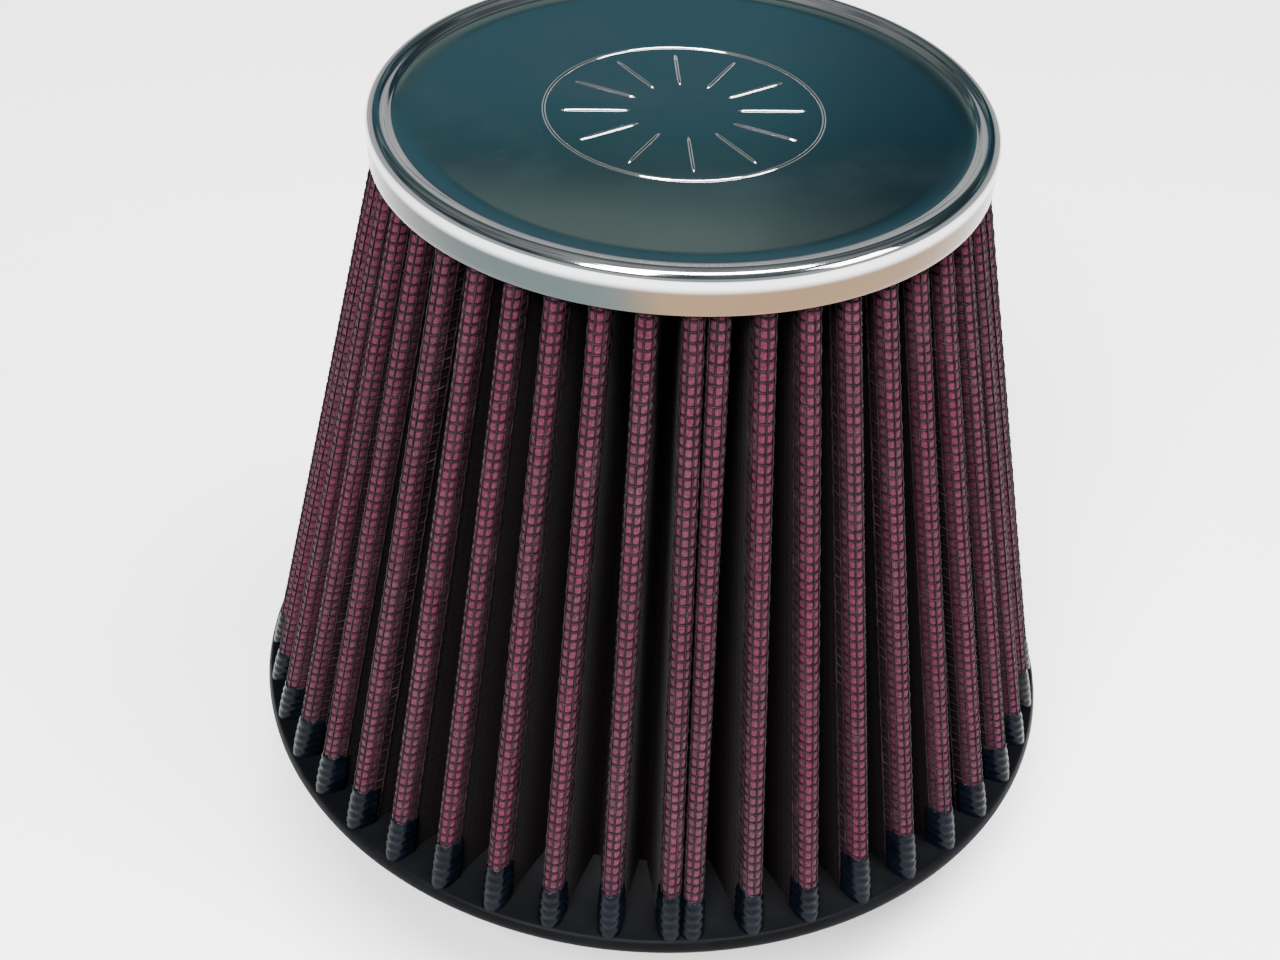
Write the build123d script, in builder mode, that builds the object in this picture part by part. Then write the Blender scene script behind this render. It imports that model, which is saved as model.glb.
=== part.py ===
from build123d import *
from math import asin, cos, degrees, radians, sin, tau
import os

# Round tapered clamp-on air filter: pleated oiled gauze between woven wire screens,
# a chromed end cap, a moulded rubber base with its neck, and a worm-drive hose clamp.
#
# Millimetres, +Z up.  The filter's axis is Z, and the neck's open end is at Z = 0.
# The seam where the two cut ends of the folded media meet faces -Y.

os.makedirs("parts", exist_ok=True)

# ---- driving sizes -------------------------------------------------------------
# rubber base and neck
base_radius = 63.5            # widest circle of the base (a 5 inch base)
base_rim_height = 2.5         # plain rubber wall under the folds
base_floor = 4.5              # rubber disc inside the ring of folds
base_edge_round = 1.1         # rounding of the base's lower edge
base_flare = 0.3              # how far the rubber stands out past the folds
bore_radius = 31.0            # inside of the neck (a 62 mm stub)
bore_depth = 22.0             # how far the stub goes in before the stop
stop_ledge = 1.5              # inward step that stops the stub
neck_wall = 4.0
neck_length = 25.0            # open end to the underside of the base
bead_height = 2.4             # retaining bead round the neck's open end
bead_width = 1.0
strip_room = 1.5              # rubber past the media's cut ends, under the seam strip

# pressed steel end cap
cap_rim_radius = 43.0         # widest circle of the cap, at its rolled rim
cap_skirt_radius = 42.8       # outside of the skirt at its lower edge
cap_skirt_height = 4.8        # lower edge to the widest circle
cap_wall = 0.6
cap_bead_radius = 1.5         # outside radius of the rolled rim
cap_face_drop = 0.9           # top face below the crown of the rim
cap_face_fall = 1.35          # sideways from the crown to the flat face
cap_lip = 1.0                 # skirt below the resin
emblem_radius = 19.5
emblem_line = 0.9
emblem_height = 0.3
emblem_rays = 12
emblem_ray_middle = 12.1
emblem_ray_length = 9.8

# folded media
rim_height = 100.0            # underside of the base to the cap's widest circle
fold_depth = 16.0             # outer crest to inner crest
fold_clearance = 0.04         # between the inner crests and the cut ends beside the seam
crest_half_width = 0.9        # half the flat of a fold, on the stack's middle line
seam_spacing = 3.2            # between the two crests beside the seam
seam_tail = 4.5               # cut ends past the inner crests, held by the seam strip
screen_thickness = 0.3
gauze_thickness = 0.12
gauze_layers = 4
layer_gap = 0.02
potting_depth = 1.6           # how deep the folds are set in rubber and in resin

# seam strip
strip_wall = 0.5
strip_gap = 0.05

# worm-drive hose clamp
band_width = 12.7
band_thickness = 0.7
band_clearance = 0.1          # loose band round the neck
clamp_middle = 12.4           # middle of the band above the neck's open end
band_start = -12.0            # degrees; the housing stands at 0, on +X
band_climb = (338.0, 346.0)   # where the strip climbs over its own start
band_end = 412.0
slot_pitch = 3.0
slots_behind = 2              # slots on the screw's other side, under the housing
slot_length = 7.5
slot_width = 1.5
saddle_thickness = 0.5
saddle_half_angle = 10.0
saddle_overhang = 1.1         # saddle past each edge of the band
sheet_gap = 0.04              # between the clamp's stacked strips
housing_wall = 0.8
housing_length = 15.0
housing_clearance = 0.3       # round the thread, and beside the band
thread_radius = 4.5
core_radius = 3.6
thread_rise = 0.9             # width of one turn of the thread
thread_turns = 5
thread_bite = 0.35            # thread into the slots
journal_radius = 3.0
journal_clearance = 0.06
head_across_flats = 8.0
head_length = 5.0
head_slot = 1.2
head_slot_depth = 2.4
collar_length = 1.0
collar_radius = 4.6

# ---- levels and radii that follow ------------------------------------------------
base_level = neck_length
rim_level = base_level + base_rim_height
cap_rim_level = base_level + rim_height
skirt_level = cap_rim_level - cap_skirt_height
cap_crown = cap_rim_level + cap_bead_radius
face_level = cap_crown - cap_face_drop
skirt_inside = cap_skirt_radius - cap_wall

crest_foot = base_radius - base_flare             # crest radius at the base's underside
crest_head = skirt_inside - strip_gap             # crest radius at the skirt's lower edge
crest_slope = (crest_foot - crest_head) / (skirt_level - base_level)

potting_level = skirt_level + cap_lip
media_foot = rim_level - potting_depth
media_head = potting_level + potting_depth
stack = 2 * screen_thickness + gauze_layers * gauze_thickness + (gauze_layers + 1) * layer_gap


def crest_radius(level):
    """Radius of the outer crests at a level: the filter is a plain cone."""
    return crest_foot - crest_slope * (level - base_level)


# as many folds as fit under the cap, where the inner crests stand closest to each other
# and the two beside the seam leave room for the cut ends
outer_head = crest_radius(media_head) - stack / 2
inner_head = crest_radius(media_head) - fold_depth + stack / 2
seam_lean = seam_spacing * (1 - inner_head / outer_head)
fold_room = seam_lean + 2 * (stack + fold_clearance)
fold_count = 1 + int((tau * inner_head - seam_spacing) / fold_room)


def polar(radius, angle, sideways=0.0):
    """Point at a radius and an angle in degrees from the seam, moved along the tangent."""
    across = radians(angle - 90)
    return Vector(
        radius * cos(across) - sideways * sin(across),
        radius * sin(across) + sideways * cos(across),
    )


def fold_line(level):
    """Middle line of the folded stack at a level, from one cut end to the other."""
    outer = crest_radius(level) - stack / 2
    inner = crest_radius(level) - fold_depth + stack / 2
    tail = inner - seam_tail
    first = degrees(asin(seam_spacing / 2 / outer))
    pitch = (360 - 2 * first) / (fold_count - 1)
    edge = seam_spacing / 2 - crest_half_width
    points = [polar(tail, 0, edge)]
    for fold in range(fold_count):
        angle = first + fold * pitch
        points.append(polar(outer, angle, -crest_half_width))
        points.append(polar(outer, angle, crest_half_width))
        if fold < fold_count - 1:
            points.append(polar(inner, angle + pitch / 2, -crest_half_width))
            points.append(polar(inner, angle + pitch / 2, crest_half_width))
    points.append(polar(tail, 360, -edge))
    return points


def beside(points, distance):
    """The fold line moved outwards by a distance, with mitred corners."""
    steps = [(b - a).normalized() for a, b in zip(points, points[1:])]
    sides = [Vector(step.Y, -step.X) for step in steps]
    moved = []
    for point, before, after in zip(points, [sides[0]] + sides, sides + [sides[-1]]):
        moved.append(point + (before + after) * (distance / (1 + before.dot(after))))
    return moved


def sheet_outline(level, outside, inside):
    """Closed outline of one folded sheet between two distances from the middle line."""
    line = fold_line(level)
    return beside(line, outside) + beside(line, inside)[::-1]


def folded_sheet(outside, thickness, foot=media_foot, head=media_head):
    """A sheet of the folded media, ruled from its foot to its head."""
    with BuildPart() as sheet:
        for level in (foot, head):
            with BuildSketch(Plane.XY.offset(level)):
                with BuildLine():
                    Polyline(*sheet_outline(level, outside, outside - thickness), close=True)
                make_face()
        loft(ruled=True)
    return sheet.part


# ---- folded media: screen, gauze layers, screen ------------------------------------
surface = stack / 2
outer_screen = folded_sheet(surface, screen_thickness)
outer_screen.label = "outer_screen"
export_step(outer_screen, "parts/outer_screen.step")

surface -= screen_thickness + layer_gap
for number in range(1, gauze_layers + 1):
    gauze = folded_sheet(surface, gauze_thickness)
    gauze.label = f"gauze_layer_{number}"
    export_step(gauze, f"parts/gauze_layer_{number}.step")
    surface -= gauze_thickness + layer_gap

inner_screen = folded_sheet(surface, screen_thickness)
inner_screen.label = "inner_screen"
export_step(inner_screen, "parts/inner_screen.step")

# ---- seam strip: a channel crimped over the media's two cut ends ---------------------
def strip_outline(level):
    """Channel section round the two tails, open towards the folds."""
    tail = crest_radius(level) - fold_depth + stack / 2 - seam_tail
    mouth = tail + seam_tail - stack
    inside = seam_spacing / 2 - crest_half_width + stack / 2 + strip_gap
    web = tail - strip_gap
    half = [
        (inside, mouth),
        (inside + strip_wall, mouth),
        (inside + strip_wall, web - strip_wall),
    ]
    slot = [(-inside, mouth), (-inside, web), (inside, web)]
    right = [Vector(x, -y) for x, y in half]
    left = [Vector(-x, -y) for x, y in half[::-1]]
    return right + left[:2] + [Vector(x, -y) for x, y in slot]


with BuildPart() as seam_strip:
    for level in (rim_level + strip_gap, potting_level - strip_gap):
        with BuildSketch(Plane.XY.offset(level)):
            with BuildLine():
                Polyline(*strip_outline(level), close=True)
            make_face()
    loft(ruled=True)
seam_strip.part.label = "seam_strip"
export_step(seam_strip.part, "parts/seam_strip.step")

# ---- moulded rubber base with its neck ----------------------------------------------
neck_outside = bore_radius + neck_wall
rim_top_radius = crest_radius(rim_level) + base_flare
inner_crest_foot = crest_foot - fold_depth

with BuildPart() as base:
    with BuildSketch(Plane.XZ):
        with BuildLine():
            Polyline(
                (bore_radius, 0),
                (neck_outside + bead_width, 0),
                (neck_outside + bead_width, bead_height),
                (neck_outside, bead_height + bead_width),
                (neck_outside, base_level),
                (base_radius - base_edge_round, base_level),
            )
            edge = ThreePointArc(
                (base_radius - base_edge_round, base_level),
                (base_radius - base_edge_round * (1 - sin(radians(45))),
                 base_level + base_edge_round * (1 - cos(radians(45)))),
                (base_radius, base_level + base_edge_round),
            )
            Polyline(
                edge @ 1,
                (rim_top_radius, rim_level),
                (inner_crest_foot - seam_tail - strip_room, rim_level),
                (inner_crest_foot - seam_tail - strip_room, base_level + base_floor),
                (bore_radius + stop_ledge, base_level + base_floor),
                (bore_radius - stop_ledge, base_level + base_floor - 2 * stop_ledge),
                (bore_radius - stop_ledge, bore_depth),
                (bore_radius, bore_depth),
                (bore_radius, 0),
            )
        make_face()
    revolve(axis=Axis.Z)
    for level in (media_foot, rim_level + potting_depth):
        with BuildSketch(Plane.XY.offset(level)):
            with BuildLine():
                Polyline(*sheet_outline(level, stack / 2, -stack / 2), close=True)
            make_face()
    loft(ruled=True, mode=Mode.SUBTRACT)
base.part.label = "base"
export_step(base.part, "parts/base.step")

# ---- resin that seals the folds inside the cap -----------------------------------------
with BuildPart() as top_potting:
    with BuildSketch(Plane.XY.offset(potting_level)):
        Circle(skirt_inside - strip_gap)
    extrude(amount=face_level - cap_wall - strip_gap - potting_level)
    for level in (potting_level - potting_depth, media_head):
        with BuildSketch(Plane.XY.offset(level)):
            with BuildLine():
                Polyline(*sheet_outline(level, stack / 2, -stack / 2), close=True)
            make_face()
    loft(ruled=True, mode=Mode.SUBTRACT)
top_potting.part.label = "top_potting"
export_step(top_potting.part, "parts/top_potting.step")

# ---- chromed end cap ---------------------------------------------------------------------
with BuildPart() as top_cap:
    with BuildSketch(Plane.XZ):
        with BuildLine():
            crown = (cap_rim_radius - cap_bead_radius, cap_crown)
            Line((0, skirt_level), (cap_skirt_radius, skirt_level))
            Line((cap_skirt_radius, skirt_level), (cap_rim_radius, cap_rim_level))
            RadiusArc((cap_rim_radius, cap_rim_level), crown, -cap_bead_radius)
            Line(crown, (crown[0] - cap_face_fall, face_level))
            Line((crown[0] - cap_face_fall, face_level), (0, face_level))
            Line((0, face_level), (0, skirt_level))
        make_face()
    revolve(axis=Axis.Z)
    offset(amount=-cap_wall, openings=top_cap.faces().sort_by(Axis.Z)[0])
    with BuildSketch(Plane.XY.offset(face_level)):
        Circle(emblem_radius)
        Circle(emblem_radius - emblem_line, mode=Mode.SUBTRACT)
        with PolarLocations(emblem_ray_middle, emblem_rays):
            Rectangle(emblem_ray_length, emblem_line)
    extrude(amount=emblem_height)
top_cap.part.label = "top_cap"
export_step(top_cap.part, "parts/top_cap.step")

# ---- worm-drive hose clamp ------------------------------------------------------------
band_inside = neck_outside + band_clearance
band_outside = band_inside + band_thickness
saddle_inside = band_outside + sheet_gap
saddle_outside = saddle_inside + saddle_thickness
tail_inside = saddle_outside + sheet_gap
tail_outside = tail_inside + band_thickness
screw_axis = tail_outside - thread_bite + thread_radius
band_foot = clamp_middle - band_width / 2
lift = Plane.XY.offset(band_foot)


def rim_point(radius, angle):
    """Point on a circle round the neck, angle in degrees from +X."""
    return (radius * cos(radians(angle)), radius * sin(radians(angle)))


with BuildPart() as clamp_band:
    with BuildSketch(lift):
        with BuildLine():
            CenterArc((0, 0), band_inside, band_start, band_climb[0] - band_start)
            Line(rim_point(band_inside, band_climb[0]), rim_point(tail_inside, band_climb[1]))
            CenterArc((0, 0), tail_inside, band_climb[1], band_end - band_climb[1])
            Line(rim_point(tail_inside, band_end), rim_point(tail_outside, band_end))
            CenterArc((0, 0), tail_outside, band_climb[1], band_end - band_climb[1])
            Line(rim_point(tail_outside, band_climb[1]), rim_point(band_outside, band_climb[0]))
            CenterArc((0, 0), band_outside, band_start, band_climb[0] - band_start)
            Line(rim_point(band_outside, band_start), rim_point(band_inside, band_start))
        make_face()
    extrude(amount=band_width)
    slot_step = degrees(slot_pitch / tail_outside)
    slots_ahead = int((band_end - 360) / slot_step) - 1
    slot_steps = slots_behind + slots_ahead
    with Locations(Plane.XY.offset(clamp_middle)):
        with PolarLocations(tail_outside, slot_steps + 1, -slots_behind * slot_step,
                            slot_steps * slot_step, endpoint=True):
            Box(2 * band_thickness, slot_width, slot_length, mode=Mode.SUBTRACT)
clamp_band.part.label = "clamp_band"
export_step(clamp_band.part, "parts/clamp_band.step")

saddle_half_width = band_width / 2 + saddle_overhang
with BuildPart() as clamp_saddle:
    with BuildSketch(Plane.XY.offset(clamp_middle - saddle_half_width)):
        with BuildLine():
            CenterArc((0, 0), saddle_inside, -saddle_half_angle, 2 * saddle_half_angle)
            CenterArc((0, 0), saddle_outside, -saddle_half_angle, 2 * saddle_half_angle)
            for side in (-saddle_half_angle, saddle_half_angle):
                Line(rim_point(saddle_inside, side), rim_point(saddle_outside, side))
        make_face()
    extrude(amount=2 * saddle_half_width)
clamp_saddle.part.label = "clamp_saddle"
export_step(clamp_saddle.part, "parts/clamp_saddle.step")

# a pressed hood whose legs stand on the saddle, with an end wall round each journal
shoulder = screw_axis - thread_radius / 2
tunnel_radius = thread_radius + housing_clearance
leg_inside = band_width / 2 + housing_clearance
leg_outside = leg_inside + housing_wall
wall_foot = tail_outside + housing_clearance


def hood_section(leg, radius, foot):
    """Legs from the foot to the shoulder, closing on a round crown over the screw."""
    with BuildSketch(mode=Mode.PRIVATE) as section:
        with BuildLine():
            Polyline((foot, leg), (foot, -leg), (shoulder, -leg), (screw_axis, -radius))
            ThreePointArc((screw_axis, -radius), (screw_axis + radius, 0), (screw_axis, radius))
            Polyline((screw_axis, radius), (shoulder, leg), (foot, leg))
        make_face()
    return section.sketch


def across_screw(along):
    """Plane across the screw at a place along it, local X outwards from the neck."""
    return Plane(origin=(0, along, clamp_middle), x_dir=(1, 0, 0), z_dir=(0, 1, 0))


with BuildPart() as clamp_housing:
    with BuildSketch(across_screw(-housing_length / 2)):
        add(hood_section(leg_outside, tunnel_radius + housing_wall, band_inside))
        add(hood_section(leg_inside, tunnel_radius, band_inside), mode=Mode.SUBTRACT)
    extrude(amount=housing_length)
    for along in (-housing_length / 2, housing_length / 2 - housing_wall):
        with BuildSketch(across_screw(along)):
            add(hood_section(leg_outside, tunnel_radius + housing_wall, wall_foot))
            with Locations((screw_axis, 0)):
                Circle(journal_radius + journal_clearance, mode=Mode.SUBTRACT)
        extrude(amount=housing_wall)
    with Locations((0, 0, clamp_middle)):
        Cylinder(saddle_outside + sheet_gap, 3 * band_width, mode=Mode.SUBTRACT)
clamp_housing.part.label = "clamp_housing"
export_step(clamp_housing.part, "parts/clamp_housing.step")

# screw: collar and head outside one end wall, core and thread between the walls
wall_face = housing_length / 2
core_end = wall_face - housing_wall - sheet_gap
collar_face = -wall_face - sheet_gap
head_face = collar_face - collar_length
along_screw = Plane(origin=(screw_axis, 0, clamp_middle), x_dir=(0, 1, 0), z_dir=(0, 0, 1))

with BuildPart() as clamp_screw:
    with BuildSketch(along_screw):
        outline = [(head_face, 0), (head_face, collar_radius), (collar_face, collar_radius)]
        outline += [(collar_face, journal_radius), (-core_end, journal_radius)]
        outline += [(-core_end, core_radius)]
        for turn in range(thread_turns):
            middle = (turn - (thread_turns - 1) / 2) * slot_pitch
            for side, radius in ((-1, core_radius), (-1, thread_radius),
                                 (1, thread_radius), (1, core_radius)):
                outline.append((middle + side * thread_rise / 2, radius))
        outline += [(core_end, core_radius), (core_end, journal_radius)]
        outline += [(wall_face + sheet_gap, journal_radius), (wall_face + sheet_gap, 0)]
        with BuildLine():
            Polyline(*outline, close=True)
        make_face()
    revolve(axis=Axis((screw_axis, 0, clamp_middle), (0, 1, 0)))
    with BuildSketch(across_screw(head_face)):
        with Locations((screw_axis, 0)):
            RegularPolygon(head_across_flats / 2, 6, major_radius=False)
    extrude(amount=-head_length)
    with BuildSketch(across_screw(head_face - head_length)):
        with Locations((screw_axis, 0)):
            Rectangle(2 * head_across_flats, head_slot)
    extrude(amount=head_slot_depth, mode=Mode.SUBTRACT)
clamp_screw.part.label = "clamp_screw"
export_step(clamp_screw.part, "parts/clamp_screw.step")
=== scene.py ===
from math import asin, atan2, cos, pi, radians, sin, tau

import bmesh
import bpy
import numpy as np
from mathutils import Matrix, Vector


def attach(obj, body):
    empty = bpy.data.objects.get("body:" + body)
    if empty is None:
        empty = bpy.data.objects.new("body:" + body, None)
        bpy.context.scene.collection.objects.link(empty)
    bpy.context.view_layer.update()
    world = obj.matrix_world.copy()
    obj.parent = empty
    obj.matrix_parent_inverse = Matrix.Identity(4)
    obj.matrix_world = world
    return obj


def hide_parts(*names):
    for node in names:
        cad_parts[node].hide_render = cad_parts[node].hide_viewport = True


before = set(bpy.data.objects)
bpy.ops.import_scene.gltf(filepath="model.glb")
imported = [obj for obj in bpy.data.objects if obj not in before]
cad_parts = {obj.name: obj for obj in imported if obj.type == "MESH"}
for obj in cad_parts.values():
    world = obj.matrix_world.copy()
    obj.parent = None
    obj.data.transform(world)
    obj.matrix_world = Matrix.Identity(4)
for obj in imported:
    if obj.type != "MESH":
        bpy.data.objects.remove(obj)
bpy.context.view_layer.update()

# A round tapered clamp-on air filter: chromed cap, pleated gauze between woven wire
# screens, rubber base with its neck, hose clamp.  The frame is in metres, +Z up, and
# sizes below are in millimetres unless they are multiplied by mm.
mm = 0.001


# ---- camera, floor and light ------------------------------------------------------
# The filter stands on its neck on a plain pale floor. The camera looks down at it
# from in front, close, turned a little to the left of the seam.
base_level = 25.0                       # underside of the base above the neck's open end
camera_turn = radians(5.975)
camera_reach = 235.6 * mm
camera_height = (base_level + 223.3) * mm
camera_tilt = radians(38.49)
camera_pan = -0.0149
camera_roll = 0.0489

lens = bpy.data.cameras.new("camera")
lens.sensor_width = 36
lens.lens = 54.04
lens.clip_start = 0.01
camera = bpy.data.objects.new("camera", lens)
bpy.context.scene.collection.objects.link(camera)
ahead = cos(camera_tilt)
gaze = Vector((sin(camera_pan) * ahead, cos(camera_pan) * ahead, -sin(camera_tilt)))
side = gaze.cross(Vector((0, 0, 1))).normalized()
crown = side.cross(gaze)
across = side * cos(camera_roll) + crown * sin(camera_roll)
upward = crown * cos(camera_roll) - side * sin(camera_roll)
turn = Matrix.Rotation(-camera_turn, 4, "Z")
aim = Matrix((across, upward, -gaze)).transposed().to_4x4()
aim.translation = (0, -camera_reach, camera_height)
camera.matrix_world = turn @ aim
bpy.context.scene.camera = camera


class Shade:
    """A socket of a material's node tree, so shader maths reads as plain arithmetic."""

    def __init__(self, tree, socket):
        self.tree = tree
        self.socket = socket

    def node(self, kind, settings=(), output=0, **inputs):
        """Adds any node: its settings first, then the values or links of its sockets."""
        made = self.tree.nodes.new(kind)
        for name, value in dict(settings).items():
            setattr(made, name, value)
        for name, value in inputs.items():
            key = int(name[1:]) if name[0] == "i" and name[1:].isdigit() else name.replace("_", " ")
            if isinstance(value, Shade):
                self.tree.links.new(value.socket, made.inputs[key])
            else:
                made.inputs[key].default_value = value
        return Shade(self.tree, made.outputs[output])

    def maths(self, operation, *values):
        named = {f"i{place}": value for place, value in enumerate(values)}
        return self.node("ShaderNodeMath", {"operation": operation}, **named)

    def __add__(self, other):
        return self.maths("ADD", self, other)

    def __sub__(self, other):
        return self.maths("SUBTRACT", self, other)

    def __rsub__(self, other):
        return self.maths("SUBTRACT", other, self)

    def __mul__(self, other):
        return self.maths("MULTIPLY", self, other)

    def __truediv__(self, other):
        return self.maths("DIVIDE", self, other)

    def __pow__(self, other):
        return self.maths("POWER", self, other)

    __radd__ = __add__
    __rmul__ = __mul__

    def ramp(self, *stops):
        """Colour ramp from (place, colour) stops."""
        made = self.tree.nodes.new("ShaderNodeValToRGB")
        steps = made.color_ramp.elements
        for place, (at, colour) in enumerate(stops):
            step = steps[place] if place < 2 else steps.new(at)
            step.position = at
            step.color = (*colour, 1)
        self.tree.links.new(self.socket, made.inputs[0])
        return Shade(self.tree, made.outputs[0])

    def band(self, low, high):
        """0 below low, 1 above high, smooth between."""
        return self.node("ShaderNodeMapRange", {"interpolation_type": "SMOOTHSTEP"},
                         Value=self, From_Min=low, From_Max=high)

    def mix(self, first, second):
        """Colour mix, this value from first to second."""
        made = self.tree.nodes.new("ShaderNodeMix")
        made.data_type = "RGBA"
        for key, value in ((0, self), (6, first), (7, second)):
            if isinstance(value, Shade):
                self.tree.links.new(value.socket, made.inputs[key])
            else:
                made.inputs[key].default_value = (*value, 1)
        return Shade(self.tree, made.outputs[2])


def new_finish(name, roughness, metallic=0.0, **constants):
    """A material with a Principled shader, and the place on the piece as a Shade."""
    made = bpy.data.materials.new(name)
    made.use_nodes = True
    shader = made.node_tree.nodes["Principled BSDF"]
    shader.inputs["Roughness"].default_value = roughness
    shader.inputs["Metallic"].default_value = metallic
    for socket, value in constants.items():
        shader.inputs[socket.replace("_", " ")].default_value = value
    coords = made.node_tree.nodes.new("ShaderNodeTexCoord")
    return made, shader, Shade(made.node_tree, coords.outputs["Object"])


def wire_up(shader, **links):
    """Links values that change over the surface into the shader's sockets."""
    for socket, value in links.items():
        value.tree.links.new(value.socket, shader.inputs[socket.replace("_", " ")])


def bumped(height, strength, distance):
    return height.node("ShaderNodeBump", Height=height, Strength=strength, Distance=distance)


def noise(place, size, detail=3.0, rough=0.55, seed=0.0):
    """Cloudy noise whose blobs are about size metres across."""
    return place.node("ShaderNodeTexNoise", {"noise_dimensions": "4D"}, Vector=place, W=seed,
                      Scale=1 / size, Detail=detail, Roughness=rough)


floor_mesh = bpy.data.meshes.new("floor")
floor_half = 6.0
floor_corners = [(-floor_half, -floor_half, 0), (floor_half, -floor_half, 0),
                 (floor_half, floor_half, 0), (-floor_half, floor_half, 0)]
floor_mesh.from_pydata(floor_corners, [], [(0, 1, 2, 3)])
floor = bpy.data.objects.new("floor", floor_mesh)
bpy.context.scene.collection.objects.link(floor)
floor_paint, floor_shader, floor_place = new_finish("floor_paint", 0.6)
floor_tint = noise(floor_place, 0.5).ramp((0.3, (0.90, 0.90, 0.90)), (0.7, (0.93, 0.93, 0.93)))
wire_up(floor_shader, Base_Color=floor_tint)
floor_mesh.materials.append(floor_paint)

# a pale studio with a darker ceiling band: what the polished cap looks up into
world = bpy.data.worlds.new("studio")
bpy.context.scene.world = world
world.use_nodes = True
sky_tree = world.node_tree
heading = Shade(sky_tree, sky_tree.nodes.new("ShaderNodeTexCoord").outputs["Generated"])
rise = heading.node("ShaderNodeSeparateXYZ", output=2, Vector=heading)
room = rise.ramp((0.0, (0.70, 0.70, 0.70)), (0.34, (0.52, 0.53, 0.53)), (0.40, (0.050, 0.100, 0.130)),
                 (0.435, (0.066, 0.140, 0.175)), (0.462, (0.050, 0.140, 0.175)),
                 (0.476, (0.026, 0.070, 0.082)), (0.481, (0.140, 0.200, 0.190)),
                 (0.511, (0.215, 0.270, 0.248)), (0.519, (0.05, 0.09, 0.095)),
                 (0.60, (0.110, 0.150, 0.150)), (0.78, (0.25, 0.26, 0.26)), (1.0, (0.5, 0.5, 0.5)))
cloud = heading.node("ShaderNodeTexNoise", Vector=heading, Scale=3.2, Detail=2.0)
dim = cloud.band(0.38, 0.56).mix((0.34, 0.38, 0.44), (1.0, 1.0, 1.0))
sky = room.node("ShaderNodeMix", {"data_type": "RGBA", "blend_type": "MULTIPLY"}, 2,
                i0=rise.band(0.37, 0.41), i6=room, i7=dim)
sky_tree.links.new(sky.socket, sky_tree.nodes["Background"].inputs["Color"])
sky_tree.nodes["Background"].inputs["Strength"].default_value = 1.0


def softbox(name, place, target, width, height, watts, colour=(1, 1, 1)):
    light = bpy.data.lights.new(name, "AREA")
    light.shape = "RECTANGLE"
    light.size = width
    light.size_y = height
    light.energy = watts
    light.color = colour
    lamp = bpy.data.objects.new(name, light)
    lamp.location = place
    lamp.rotation_euler = (Vector(target) - Vector(place)).to_track_quat("-Z", "Y").to_euler()
    bpy.context.scene.collection.objects.link(lamp)


middle = (0, 0, 0.08)
softbox("key", (-0.45, -0.85, 1.05), middle, 0.45, 0.45, 52)
softbox("overhead", (0.1, -0.32, 1.15), middle, 0.9, 0.30, 50)
softbox("fill", (0.9, -0.5, 0.7), middle, 0.5, 0.5, 16, (1, 0.96, 0.92))


def add_piece(name, mesh, body, *replaced, slot=None):
    """Puts a finished mesh in the scene and lets it ride on its body."""
    piece = bpy.data.objects.new(name, mesh)
    bpy.context.scene.collection.objects.link(piece)
    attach(piece, body)
    for node in replaced:
        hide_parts(node)
    return piece


def smooth(mesh):
    mesh.shade_smooth()
    return mesh


# ---- folded media: the shape that every sheet follows --------------------------------
# One long sandwich of screen, gauze and screen is folded into 45 deep pleats, bent round
# into a cone and joined at the seam, where its two cut ends turn inwards side by side.
fold_count = 45
fold_depth = 16.0                       # mm, outer crest to inner crest
stack = 1.18                            # thickness of the whole sandwich
crest_round = 1.47                      # outside radius of a fold
seam_spacing = 3.2                      # between the crests beside the seam
seam_tail = 4.5
crest_foot = 63.2                       # crest radius at the base's underside
crest_head = 42.15                      # and at the cap's lower edge
rim_level = 27.5
skirt_level = 120.2
media_set = 0.6                         # how deep the sheets go into the rubber
media_foot = rim_level - media_set
media_head = skirt_level + 1.6
slope = (crest_foot - crest_head) / (skirt_level - base_level)
screen_pitch = 1.411                    # 18 wires to the inch
middle_round = crest_round - stack / 2
level_pitch = screen_pitch * cos(atan2(crest_foot - crest_head, skirt_level - base_level))
chance = np.random.default_rng(11)
lay_shift = chance.uniform(-0.5, 0.5, fold_count) * screen_pitch


def crest_radius(level):
    return crest_foot - slope * (level - base_level)


def fold_frame(level, fold):
    """A fold's angle from the seam, its crest radius and the slants of its two flanks."""
    radius = crest_radius(level)
    first = asin(seam_spacing / 2 / (radius - stack / 2))
    pitch = (tau - 2 * first) / (fold_count - 1)
    near = radius - crest_round
    far = radius - fold_depth + crest_round
    reach = Vector((near - far * cos(pitch / 2), far * sin(pitch / 2)))
    slant = atan2(reach.y, reach.x) - asin(2 * middle_round / reach.length)
    left = -first if fold == 0 else slant
    right = -first if fold == fold_count - 1 else slant
    return first + fold * pitch, radius, left, right


def fold_point(level, fold, along, depth):
    """Point on a fold: along is mm from the crest's middle line, depth is mm inwards."""
    angle, radius, left, right = fold_frame(level, fold)
    hand = 1 if along >= 0 else -1
    slant = right if hand > 0 else left
    sweep = pi / 2 - slant
    arc = min(abs(along) / crest_round, sweep)
    run = abs(along) - arc * crest_round
    out = radius - crest_round + (crest_round - depth) * cos(arc) - run * cos(slant)
    tangent = hand * ((crest_round - depth) * sin(arc) + run * sin(slant))
    return out * sin(angle) + tangent * cos(angle), -out * cos(angle) + tangent * sin(angle), level


def flank_end(level, fold, hand):
    """Distance along a fold from its crest's middle to the end of its flank."""
    angle, radius, left, right = fold_frame(level, fold)
    slant = right if hand > 0 else left
    near = radius - crest_round
    far = radius - fold_depth + crest_round
    run = (near - far) + (seam_tail if slant < 0 else 0)
    if slant >= 0:
        pitch = (tau - 2 * asin(seam_spacing / 2 / (radius - stack / 2))) / (fold_count - 1)
        gap = Vector((near - far * cos(pitch / 2), far * sin(pitch / 2))).length
        run = (gap ** 2 - (2 * middle_round) ** 2) ** 0.5
    return (pi / 2 - slant) * crest_round + run


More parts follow.
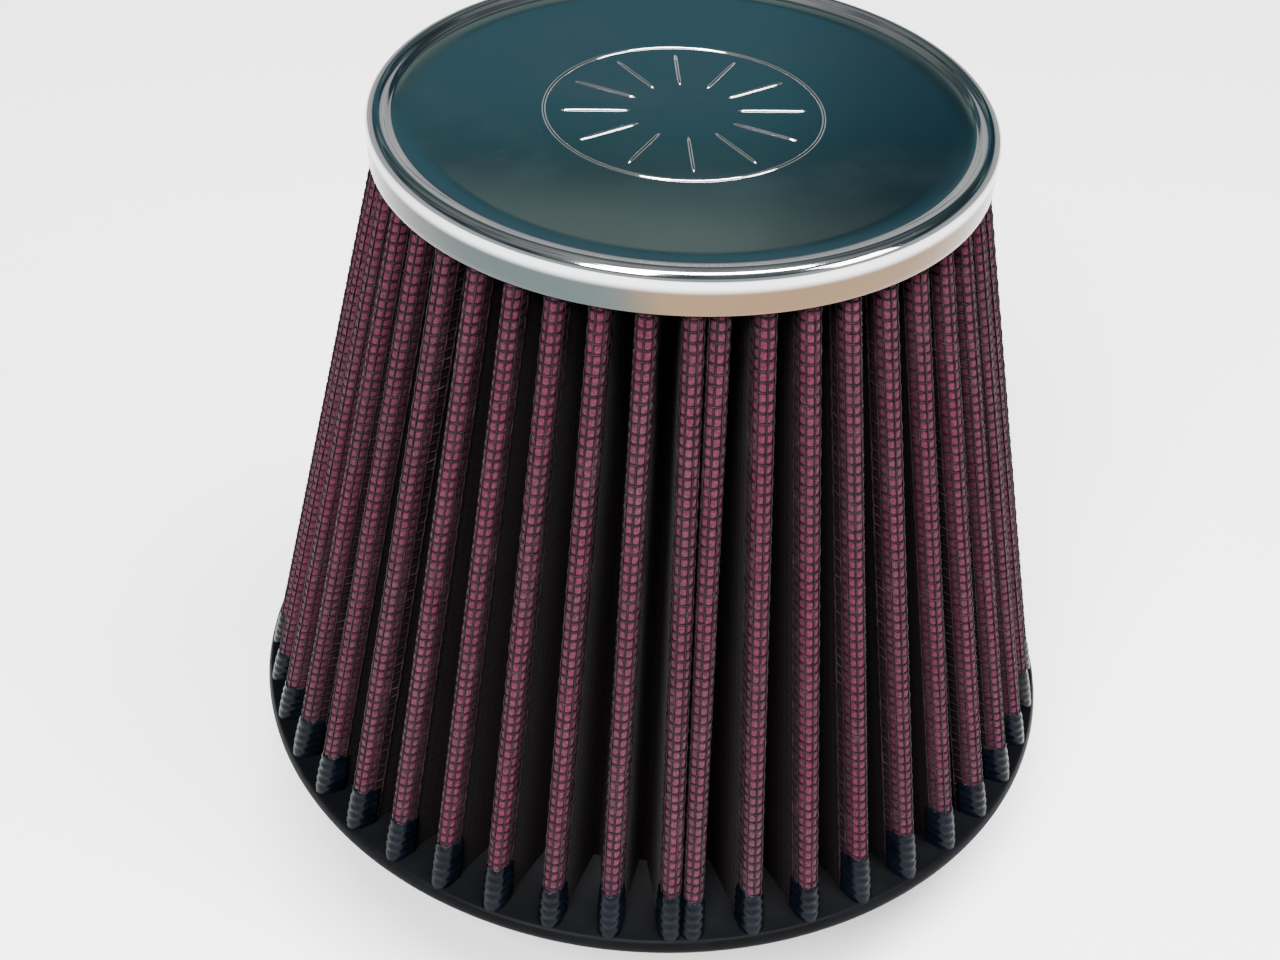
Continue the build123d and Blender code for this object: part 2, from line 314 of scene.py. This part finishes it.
def sheet(name, levels, places, depth, relief=None):
    """A folded sheet as a grid, with a UV map that counts the screen's wires.

    places(fold, level) gives the distances along a fold, the same number on every fold.
    The attribute from_crest holds the distance from the crest's middle line in mm.
    """
    rows, lays, reaches = [], [], []
    for row, level in enumerate(levels):
        points, lay = [], []
        for fold in range(fold_count):
            for column, along in enumerate(places(fold, level)):
                raised = relief(fold, row, column) if relief else 0.0
                points.append(fold_point(level, fold, along, depth - raised))
                across_wires = (along - lay_shift[fold]) / screen_pitch
                lay.append((across_wires, (level - media_foot) / level_pitch))
                reaches.append(abs(along))
        rows.append(points)
        lays.append(lay)
    points = np.array(rows) * mm
    lays = np.array(lays)
    height, width = points.shape[:2]
    index = np.arange(height * width).reshape(height, width)
    corners = [index[:-1, :-1], index[:-1, 1:], index[1:, 1:], index[1:, :-1]]
    quads = np.stack(corners, -1).reshape(-1, 4)
    mesh = bpy.data.meshes.new(name)
    mesh.from_pydata(points.reshape(-1, 3), [], quads.tolist())
    layer = mesh.uv_layers.new(name="lay")
    flat = lays.reshape(-1, 2)[quads.reshape(-1)]
    layer.data.foreach_set("uv", flat.astype(np.float32).reshape(-1))
    reach = mesh.attributes.new("from_crest", "FLOAT", "POINT")
    reach.data.foreach_set("value", np.array(reaches, dtype=np.float32))
    return smooth(mesh)


# ---- gauze layer 1: the cotton that shows through the screen ---------------------------
# Oiled cotton gauze, dyed red, grey-pink where dust has settled.  It bulges through every
# opening of the screen over the crests, so each opening is a little cushion.
cushion_levels = np.arange(media_foot, media_head, level_pitch / 2)
half_cells = 6
cushion_height = 0.2
cushion_swell = chance.uniform(0.75, 1.15, (fold_count, len(cushion_levels), 2 * half_cells + 3))


def cushion_places(fold, level):
    inner = [lay_shift[fold] + step * screen_pitch / 2 for step in range(-half_cells, half_cells + 1)]
    return [-flank_end(level, fold, -1)] + inner + [flank_end(level, fold, 1)]


def cushion_relief(fold, row, column):
    if column in (0, 2 * half_cells + 2):
        return 0.0
    between_rows = row % 2
    between_wires = (column - 1 - half_cells) % 2
    swell = cushion_swell[fold, row, column]
    share = 1.0 if between_rows and between_wires else 0.12 * (between_rows + between_wires)
    return cushion_height * swell * share


gauze_mesh = sheet("gauze_outer", cushion_levels, cushion_places, 0.27, cushion_relief)
gauze_dye, gauze_shader, gauze_place = new_finish(
    "oiled_gauze", 0.8, Sheen_Weight=0.02, Sheen_Roughness=0.4, Specular_IOR_Level=0.04)


def wire_lines(place, width):
    """1 on the lines of the woven screen, by the sheet's own lay, and 0 in its openings."""
    lay = place.node("ShaderNodeUVMap", {"uv_map": "lay"})
    lines = []
    for output in (0, 1):
        count = lay.node("ShaderNodeSeparateXYZ", output=output, Vector=lay)
        past = count.maths("FRACT", count + 1000.5) - 0.5
        away = past.maths("ABSOLUTE", past)
        lines.append(1 - away.band(width * 0.6, width * 1.4))
    return lines[0].maths("MAXIMUM", lines[0], lines[1])


from_crest = gauze_place.node("ShaderNodeAttribute", {"attribute_name": "from_crest"}, 2)
# deep is 0 on the crests and 1 deep in the grooves; it carries the painted groove shade below
deep = from_crest.band(1.4, 4.4)
patches = noise(gauze_place, 14 * mm, 3, 0.6, 2.0).band(0.35, 0.68)
dust = noise(gauze_place, 30 * mm, 5, 0.65, 7.0).band(0.42, 0.75)
threads = noise(gauze_place, 0.35 * mm, 2, 0.6, 1.0)
dyed = patches.mix((0.062, 0.0125, 0.0255), (0.049, 0.0150, 0.0265))
dusty = (dust * 0.5).mix(dyed, (0.066, 0.030, 0.042))
spun = threads.band(0.3, 0.7).mix((0.55, 0.5, 0.52), (1.0, 1.0, 1.0))
coloured = dusty.node("ShaderNodeMix", {"data_type": "RGBA", "blend_type": "MULTIPLY"}, 2,
                      i0=1.0, i6=dusty, i7=spun)
# painted shade: deep in the grooves, away from the crests, the gauze colour is painted near black
groove_shaded = deep.mix(coloured, (0.0015, 0.0003, 0.0006))
lined = wire_lines(gauze_place, 0.13)
shown = (lined * 0.75).mix(groove_shaded, (0.002, 0.0012, 0.002))
wire_up(gauze_shader, Base_Color=shown, Normal=bumped(threads - lined * 0.5, 0.5, 0.08 * mm))
gauze_mesh.materials.append(gauze_dye)
add_piece("gauze_outer", gauze_mesh, "filter", "gauze_layer_1", slot="gauze")


# ---- gauze layers 2 to 4 and the inner screen: behind the first layer --------------------
# The same cotton laid up three more times, then the second screen, which faces the clean
# side and can be seen up through the neck.
def plain_places(fold, level):
    ends = flank_end(level, fold, -1), flank_end(level, fold, 1)
    arc = crest_round * pi / 2
    return [-ends[0], -arc, -arc / 2, 0, arc / 2, arc, ends[1]]


def thickened(mesh, thickness):
    """Gives a sheet its thickness in mm, inwards from its outer face, with closed edges."""
    holder = bpy.data.objects.new(mesh.name, mesh)
    bpy.context.scene.collection.objects.link(holder)
    modifier = holder.modifiers.new("thickness", "SOLIDIFY")
    modifier.thickness = thickness * mm
    modifier.offset = -1
    graph = bpy.context.evaluated_depsgraph_get()
    thick = bpy.data.meshes.new_from_object(holder.evaluated_get(graph))
    bpy.data.objects.remove(holder)
    return thick


plain_levels = np.linspace(media_foot, media_head, 5)
gauze_thickness = 0.12
for number, depth in ((2, 0.46), (3, 0.60), (4, 0.74)):
    thin = sheet(f"gauze_inside_{number}", plain_levels, plain_places, depth)
    layer = thickened(thin, gauze_thickness)
    layer.materials.append(gauze_dye)
    add_piece(f"gauze_inside_{number}", layer, "filter", f"gauze_layer_{number}", slot="gauze")


# ---- outer screen: woven wire over the crests ------------------------------------------
# Plain-woven wire cloth with a dark epoxy coat.  Along-wires run with the folds and
# cross-wires go round them, each passing over and under the other at every opening.
def sweep_wires(name, lines, radius, sides, finish):
    """Geometry nodes that turn lines of edges into round wires."""
    tree = bpy.data.node_groups.new(name, "GeometryNodeTree")
    tree.interface.new_socket("Lines", in_out="INPUT", socket_type="NodeSocketGeometry")
    radius_in = tree.interface.new_socket("Wire Radius", in_out="INPUT", socket_type="NodeSocketFloat")
    sides_in = tree.interface.new_socket("Sides", in_out="INPUT", socket_type="NodeSocketInt")
    tree.interface.new_socket("Wires", in_out="OUTPUT", socket_type="NodeSocketGeometry")
    given = tree.nodes.new("NodeGroupInput")
    made = tree.nodes.new("NodeGroupOutput")
    curves = tree.nodes.new("GeometryNodeMeshToCurve")
    section = tree.nodes.new("GeometryNodeCurvePrimitiveCircle")
    tube = tree.nodes.new("GeometryNodeCurveToMesh")
    tube.inputs["Fill Caps"].default_value = True
    rounded = tree.nodes.new("GeometryNodeSetShadeSmooth")
    real = tree.nodes.new("GeometryNodeRealizeInstances")
    painted = tree.nodes.new("GeometryNodeSetMaterial")
    painted.inputs["Material"].default_value = finish
    link = tree.links.new
    link(given.outputs["Lines"], curves.inputs["Mesh"])
    link(given.outputs["Wire Radius"], section.inputs["Radius"])
    link(given.outputs["Sides"], section.inputs["Resolution"])
    link(curves.outputs["Curve"], tube.inputs["Curve"])
    link(section.outputs["Curve"], tube.inputs["Profile Curve"])
    link(tube.outputs["Mesh"], rounded.inputs[0])
    link(rounded.outputs[0], real.inputs[0])
    link(real.outputs[0], painted.inputs["Geometry"])
    link(painted.outputs["Geometry"], made.inputs[0])
    holder = bpy.data.objects.new(name + "_lines", lines)
    bpy.context.scene.collection.objects.link(holder)
    modifier = holder.modifiers.new("wires", "NODES")
    modifier.node_group = tree
    modifier[radius_in.identifier] = radius
    modifier[sides_in.identifier] = sides
    graph = bpy.context.evaluated_depsgraph_get()
    mesh = bpy.data.meshes.new_from_object(holder.evaluated_get(graph))
    mesh.name = name
    bpy.data.objects.remove(holder)
    return mesh


def line_mesh(name, lines):
    """Separate open lines of points in mm as one mesh of edges."""
    points, edges = [], []
    for line in lines:
        start = len(points)
        points += line
        edges += [(start + step, start + step + 1) for step in range(len(line) - 1)]
    mesh = bpy.data.meshes.new(name)
    mesh.from_pydata(np.array(points) * mm, edges, [])
    return mesh


wire_radius = 0.13
crimp = 0.07                            # how far a wire swings over and under, mm
coat, coat_shader, coat_place = new_finish("dark_wire", 0.5, Specular_IOR_Level=0.08)
rubbed = noise(coat_place, 2.5 * mm, 3, 0.6, 3.0).band(0.45, 0.75)
wire_up(coat_shader, Base_Color=rubbed.mix((0.006, 0.0030, 0.0042), (0.018, 0.010, 0.014)),
        Roughness=rubbed * 0.2 + 0.4)
wire_levels = cushion_levels[::2]
along_lines, cross_lines = [], []
for fold in range(fold_count):
    steps = range(-half_cells // 2, half_cells // 2 + 1)
    wires = [lay_shift[fold] + step * screen_pitch for step in steps]
    for number, along in enumerate(wires):
        along_lines.append([fold_point(level, fold, along, 0.15 + crimp * (-1) ** (row + number))
                            for row, level in enumerate(wire_levels)])
    for row, level in enumerate(wire_levels[1:-1], 1):
        line = []
        for number, along in enumerate(wires):
            line.append(fold_point(level, fold, along, 0.15 - crimp * (-1) ** (row + number)))
            if number < len(wires) - 1:
                line.append(fold_point(level, fold, along + screen_pitch / 2, 0.15))
        cross_lines.append(line)
along_mesh = sweep_wires("screen_along_wires", line_mesh("along", along_lines), wire_radius * mm, 4, coat)
cross_mesh = sweep_wires("screen_cross_wires", line_mesh("cross", cross_lines), wire_radius * mm, 3, coat)
add_piece("screen_along_wires", along_mesh, "filter", "outer_screen", slot="screen_wire")
add_piece("screen_cross_wires", cross_mesh, "filter", slot="screen_wire")


# ---- inner screen ---------------------------------------------------------------------
# The same wire cloth on the clean side of the gauze, seen only up through the neck, so
# its wires are in the finish and not in the shape.
inner_mesh = thickened(sheet("inner_screen_cloth", plain_levels, plain_places, 0.88), 0.28)
net, net_shader, net_place = new_finish("inner_wire_cloth", 0.5)
net_lines = wire_lines(net_place, 0.13)
net_tint = noise(net_place, 9 * mm).band(0.35, 0.7).mix((0.07, 0.016, 0.03), (0.055, 0.022, 0.032))
wire_up(net_shader, Base_Color=net_lines.mix(net_tint, (0.008, 0.006, 0.008)),
        Roughness=0.8 - net_lines * 0.45, Normal=bumped(net_lines, 0.8, 0.15 * mm))
inner_mesh.materials.append(net)
add_piece("inner_screen_cloth", inner_mesh, "filter", "inner_screen", slot="screen_wire")


# ---- rubber base with its neck ----------------------------------------------------------
# One black moulding: the ring that the folds are set in, the neck that goes over the
# intake stub and its retaining bead.
def lathe(name, profile, segments=256):
    """Closed ring or disc turned round Z from (radius, height) points in mm."""
    shape = bmesh.new()
    rings = []
    for radius, height in profile:
        if radius == 0:
            rings.append([shape.verts.new((0, 0, height * mm))])
        else:
            rings.append([shape.verts.new((radius * mm * cos(tau * k / segments),
                                           radius * mm * sin(tau * k / segments), height * mm))
                          for k in range(segments)])
    for lower, upper in zip(rings, rings[1:] + rings[:1]):
        for k in range(segments):
            after = (k + 1) % segments
            corners = [lower[k % len(lower)], lower[after % len(lower)],
                       upper[after % len(upper)], upper[k % len(upper)]]
            kept = list(dict.fromkeys(corners))
            if len(kept) > 2:
                shape.faces.new(kept)
    bmesh.ops.recalc_face_normals(shape, faces=shape.faces)
    mesh = bpy.data.meshes.new(name)
    shape.to_mesh(mesh)
    shape.free()
    return smooth(mesh)


def rounded_corner(corner, radius, start, steps=6):
    """Quarter-round points from an angle in degrees, turning anticlockwise."""
    return [(corner[0] + radius * cos(radians(start + 90 * k / steps)),
             corner[1] + radius * sin(radians(start + 90 * k / steps))) for k in range(steps + 1)]


base_profile = [(31, 0.6), (31.5, 0), (35.4, 0), (36, 0.6), (36, 2.2), (35.6, 2.9), (35, 3.4), (35, 24.2)]
base_profile += [(35.4, 24.8), (36.2, 25.0), (61.9, 25.0)]
base_profile += rounded_corner((62.4, 26.1), 1.1, -90)[1:]
base_profile += [(63.4, 26.5), (63.15, 27.1), (62.9, 27.42), (62.6, 27.5)]
base_profile += [(41.0, 27.5), (40.8, 29.2), (39.9, 29.5), (33, 29.5), (31.5, 29.0), (29.7, 26.8)]
base_profile += [(29.5, 26), (29.5, 22.3), (29.8, 22.0), (31, 22.0)]
base_mesh = lathe("rubber_base", base_profile)
rubber, rubber_shader, rubber_place = new_finish("moulded_rubber", 0.6, Specular_IOR_Level=0.04)
grain = noise(rubber_place, 0.5 * mm, 3, 0.6, 5.0)
bloom = noise(rubber_place, 9 * mm, 4, 0.6, 6.0).band(0.45, 0.8)
wire_up(rubber_shader, Base_Color=bloom.mix((0.0008, 0.0009, 0.0013), (0.0020, 0.0022, 0.0031)),
        Roughness=bloom * 0.2 + 0.5, Normal=bumped(grain, 0.25, 0.05 * mm))
base_mesh.materials.append(rubber)
add_piece("rubber_base", base_mesh, "filter", "base", slot="rubber")


# ---- rubber coat on the foot of each fold -----------------------------------------------
# The folds' feet are dipped: rubber covers the screen, and its wires show as ridges.
coat_rows = 22
coat_columns = 14
coat_half = 4.3
coat_top = chance.uniform(5.6, 7.6, fold_count)
coat_back = 0.45                        # depth of the coat's hidden back, inside the media
coat_shapes = bmesh.new()


def coat_vertex(level, fold, along, depth):
    return coat_shapes.verts.new([c * mm for c in fold_point(level, fold, along, depth)])


for fold in range(fold_count):
    rows = []
    for row in range(coat_rows + 1):
        part = row / coat_rows
        ring = []
        for column in range(coat_columns + 1):
            along = coat_half * (2 * column / coat_columns - 1)
            edge = coat_top[fold] * (1 - 0.10 * (along / coat_half) ** 2) + 0.25 * sin(3 * along + fold)
            level = media_foot + (edge + media_set) * part
            ridge = 0.07 * cos(tau * (level - media_foot) / level_pitch) * min(1, 3 * part)
            thick = 0.30 * (1 - part ** 4) + 0.02
            ring.append(coat_vertex(level, fold, along, 0.05 - thick - ridge))
        rows.append(ring)
    for level in (rim_level + coat_top[fold] - 0.8, media_foot):
        places = [coat_half * (2 * column / coat_columns - 1) for column in range(coat_columns + 1)]
        rows.append([coat_vertex(level, fold, along, coat_back) for along in places])
    for lower, upper in zip(rows, rows[1:] + rows[:1]):
        for column in range(coat_columns):
            coat_shapes.faces.new((lower[column], lower[column + 1], upper[column + 1], upper[column]))
    coat_shapes.faces.new([ring[0] for ring in rows])
    coat_shapes.faces.new([ring[-1] for ring in rows])
bmesh.ops.recalc_face_normals(coat_shapes, faces=coat_shapes.faces)
coat_mesh = bpy.data.meshes.new("rubber_dip")
coat_shapes.to_mesh(coat_mesh)
coat_shapes.free()
smooth(coat_mesh)
dip, dip_shader, dip_place = new_finish("rubber_dip", 0.24, Specular_IOR_Level=0.05)
dip_grain = noise(dip_place, 0.6 * mm, 3, 0.6, 8.0)
dip_cloud = noise(dip_place, 3 * mm, 3, 0.5, 9.0)
dip_tint = dip_cloud.ramp((0.35, (0.0006, 0.001, 0.002)), (0.7, (0.0016, 0.0026, 0.0048)))
wire_up(dip_shader, Base_Color=dip_tint, Normal=bumped(dip_grain, 0.6, 0.16 * mm))
coat_mesh.materials.append(dip)
add_piece("rubber_dip", coat_mesh, "filter", slot="rubber")


# ---- chrome end cap -----------------------------------------------------------------------
# Pressed steel, chrome plated: a flat face inside a rolled rim and a short skirt that
# covers the heads of the folds.
rim_centre = (41.5, 125.0)
rim_round = 1.5
cap_profile = [(0, 125.35), (36.0, 125.4), (38.6, 125.5)]
cap_profile += [(39.3 + 0.75 * k / 4, 125.55 + 0.45 * (k / 4) ** 2) for k in range(4)]
for k in range(15):
    around = radians(145 * (1 - k / 14))
    cap_profile.append((rim_centre[0] + rim_round * cos(around), rim_centre[1] + rim_round * sin(around)))
cap_profile += [(42.86, 121.2), (42.84, 120.5), (42.74, 120.26), (42.55, 120.2), (42.3, 120.3)]
cap_profile += [(42.24, 120.6), (42.38, 124.9), (41.8, 125.6), (40.6, 125.4), (39.5, 124.95), (0, 124.75)]
cap_mesh = lathe("chrome_cap", cap_profile, 384)
chrome, chrome_shader, chrome_place = new_finish("chrome_plate", 0.06, 1.0)
haze = noise(chrome_place, 26 * mm, 4, 0.6, 1.0).band(0.4, 0.75)
specks = noise(chrome_place, 0.9 * mm, 1, 0.5, 4.0).band(0.75, 0.81)
height = chrome_place.node("ShaderNodeSeparateXYZ", output=2, Vector=chrome_place)
# painted reflection: below the face the skirt is painted darker, grey-green and golden in broad cloudy
# patches, for the surroundings it reflects
skirt = 1 - height.band(123.4 * mm, 124.6 * mm)
reflection_tint_mix = noise(chrome_place, 34 * mm, 2, 0.5, 3.0).band(0.38, 0.64)
skirt_painted_reflection = reflection_tint_mix.mix((0.042, 0.054, 0.054), (0.115, 0.076, 0.046))
wire_up(chrome_shader, Base_Color=skirt.mix(specks.mix((0.60, 0.61, 0.62), (0.50, 0.50, 0.49)), skirt_painted_reflection),
        Roughness=haze * 0.07 + specks * 0.15 + skirt * 0.06 + 0.05)
cap_mesh.materials.append(chrome)
add_piece("chrome_cap", cap_mesh, "filter", "top_cap", slot="chrome")
ring_profile = [(19.05 + 0.28 * cos(pi * k / 10), 125.33 + 0.26 * sin(pi * k / 10)) for k in range(11)]
ring_mesh = lathe("cap_ring", ring_profile, 192)
ring_mesh.materials.append(chrome)
add_piece("cap_ring", ring_mesh, "filter", slot="chrome")


def ring_around(name, unit, count, finish):
    """Geometry nodes that repeat a mesh round Z, evenly."""
    tree = bpy.data.node_groups.new(name, "GeometryNodeTree")
    tree.interface.new_socket("Unit", in_out="INPUT", socket_type="NodeSocketGeometry")
    count_in = tree.interface.new_socket("Count", in_out="INPUT", socket_type="NodeSocketInt")
    tree.interface.new_socket("Ring", in_out="OUTPUT", socket_type="NodeSocketGeometry")
    given = tree.nodes.new("NodeGroupInput")
    made = tree.nodes.new("NodeGroupOutput")
    spots = tree.nodes.new("GeometryNodePoints")
    index = tree.nodes.new("GeometryNodeInputIndex")
    share = tree.nodes.new("ShaderNodeMath")
    share.operation = "DIVIDE"
    whole = tree.nodes.new("ShaderNodeMath")
    whole.operation = "MULTIPLY"
    whole.inputs[1].default_value = tau
    angle = tree.nodes.new("ShaderNodeCombineXYZ")
    placed = tree.nodes.new("GeometryNodeInstanceOnPoints")
    real = tree.nodes.new("GeometryNodeRealizeInstances")
    painted = tree.nodes.new("GeometryNodeSetMaterial")
    painted.inputs["Material"].default_value = finish
    link = tree.links.new
    link(given.outputs["Count"], spots.inputs["Count"])
    link(index.outputs[0], share.inputs[0])
    link(given.outputs["Count"], share.inputs[1])
    link(share.outputs[0], whole.inputs[0])
    link(whole.outputs[0], angle.inputs["Z"])
    link(spots.outputs[0], placed.inputs["Points"])
    link(given.outputs["Unit"], placed.inputs["Instance"])
    link(angle.outputs[0], placed.inputs["Rotation"])
    link(placed.outputs[0], real.inputs[0])
    link(real.outputs[0], painted.inputs["Geometry"])
    link(painted.outputs["Geometry"], made.inputs[0])
    holder = bpy.data.objects.new(name + "_unit", unit)
    bpy.context.scene.collection.objects.link(holder)
    modifier = holder.modifiers.new("ring", "NODES")
    modifier.node_group = tree
    modifier[count_in.identifier] = count
    graph = bpy.context.evaluated_depsgraph_get()
    mesh = bpy.data.meshes.new_from_object(holder.evaluated_get(graph))
    mesh.name = name
    bpy.data.objects.remove(holder)
    return mesh


def ridge(name, start, end, half_width, foot, height):
    """A rounded raised line along X, in mm, tapered at both ends."""
    shape = bmesh.new()
    rows = []
    for k in range(13):
        part = k / 12
        taper = max(0.0, 1 - (2 * part - 1) ** 6) ** 0.5
        along = start + (end - start) * part
        section = [(half_width * taper * cos(pi * j / 8), foot + height * taper * sin(pi * j / 8))
                   for j in range(9)]
        rows.append([shape.verts.new((along * mm, aside * mm, level * mm)) for aside, level in section])
    for lower, upper in zip(rows, rows[1:]):
        for j in range(9):
            after = (j + 1) % 9
            shape.faces.new((lower[j], lower[after], upper[after], upper[j]))
    bmesh.ops.remove_doubles(shape, verts=shape.verts, dist=1e-7)
    bmesh.ops.recalc_face_normals(shape, faces=shape.faces)
    mesh = bpy.data.meshes.new(name)
    shape.to_mesh(mesh)
    shape.free()
    return smooth(mesh)


ray_mesh = ring_around("cap_rays", ridge("ray", 7.2, 17.0, 0.26, 125.33, 0.26), 12, chrome)
add_piece("cap_rays", ray_mesh, "filter", slot="chrome")


# ---- resin, seam strip and hose clamp: frame shapes with their own finish ------------------
# Black resin under the cap and a crimped channel over the media's cut ends, both hidden,
# and a stainless worm-drive clamp round the neck: brushed strip, pressed housing, screw.
def finish_node(node, finish):
    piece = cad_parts[node]
    piece.data.materials.clear()
    piece.data.materials.append(finish)


resin, resin_shader, resin_place = new_finish("cast_resin", 0.5)
resin_tint = noise(resin_place, 6 * mm).ramp((0.3, (0.02, 0.02, 0.024)), (0.7, (0.035, 0.035, 0.04)))
wire_up(resin_shader, Base_Color=resin_tint)
finish_node("top_potting", resin)
steel, steel_shader, steel_place = new_finish("stainless_strip", 0.3, 1.0)
brushed = noise(steel_place.node("ShaderNodeMapping", Vector=steel_place, Scale=(1, 1, 18)), 4 * mm, 4, 0.6)
steel_tint = brushed.ramp((0.3, (0.26, 0.26, 0.27)), (0.7, (0.40, 0.40, 0.40)))
wire_up(steel_shader, Base_Color=steel_tint, Roughness=brushed * 0.25 + 0.2)
for node in ("seam_strip", "clamp_band", "clamp_saddle", "clamp_housing", "clamp_screw"):
    finish_node(node, steel)
